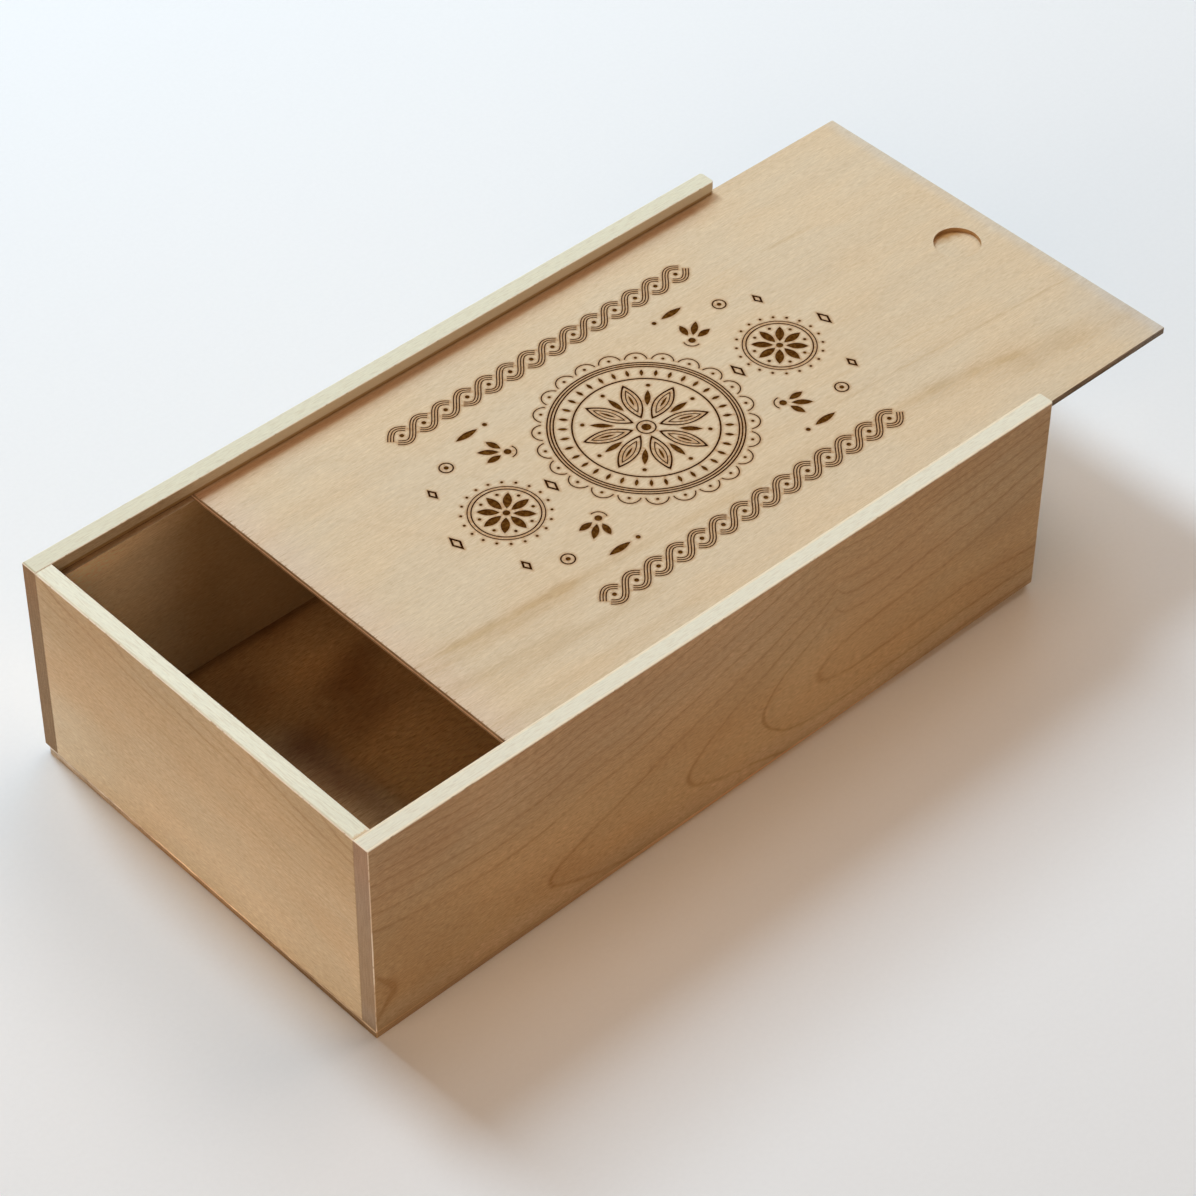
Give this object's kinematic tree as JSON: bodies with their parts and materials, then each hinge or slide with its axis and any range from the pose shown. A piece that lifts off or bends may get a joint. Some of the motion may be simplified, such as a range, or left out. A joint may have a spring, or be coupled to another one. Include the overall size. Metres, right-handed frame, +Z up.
{
  "type": "sliding-lid keepsake box",
  "caption": "Shallow oblong wooden keepsake box with a thin plywood lid that slides in side grooves and lifts clear, with a round thumb recess.",
  "frame": {"origin": "centre of the underside of the bottom panel, where the box rests", "axes": "+X along the box towards the open end, the way the lid is pulled out; +Y across it towards the rear side board; +Z up"},
  "size_m": [0.4286, 0.2, 0.101],
  "materials": {
    "board_wood": "planed pale hardwood, bare and finely sanded",
    "bottom_plywood": "three-ply plywood, bare, with scorched laser-cut edges",
    "lid_plywood": "three-ply plywood, bare and sanded, with scorched laser-cut edges",
    "brad_steel": "plain wire, cut ends"
  },
  "bodies": {
    "box": {"front_side_board": "board_wood", "rear_side_board": "board_wood", "closed_end_board": "board_wood", "open_end_board": "board_wood", "bottom_panel": "bottom_plywood", "bottom_brads": "brad_steel"},
    "lid": {"lid_panel": "lid_plywood"}
  },
  "joints": [
    {"name": "lid_slide", "type": "slide", "parent": "box", "child": "lid", "axis": [1, 0, 0], "range_m": [-0.0724, 0.2843]}
  ]
}
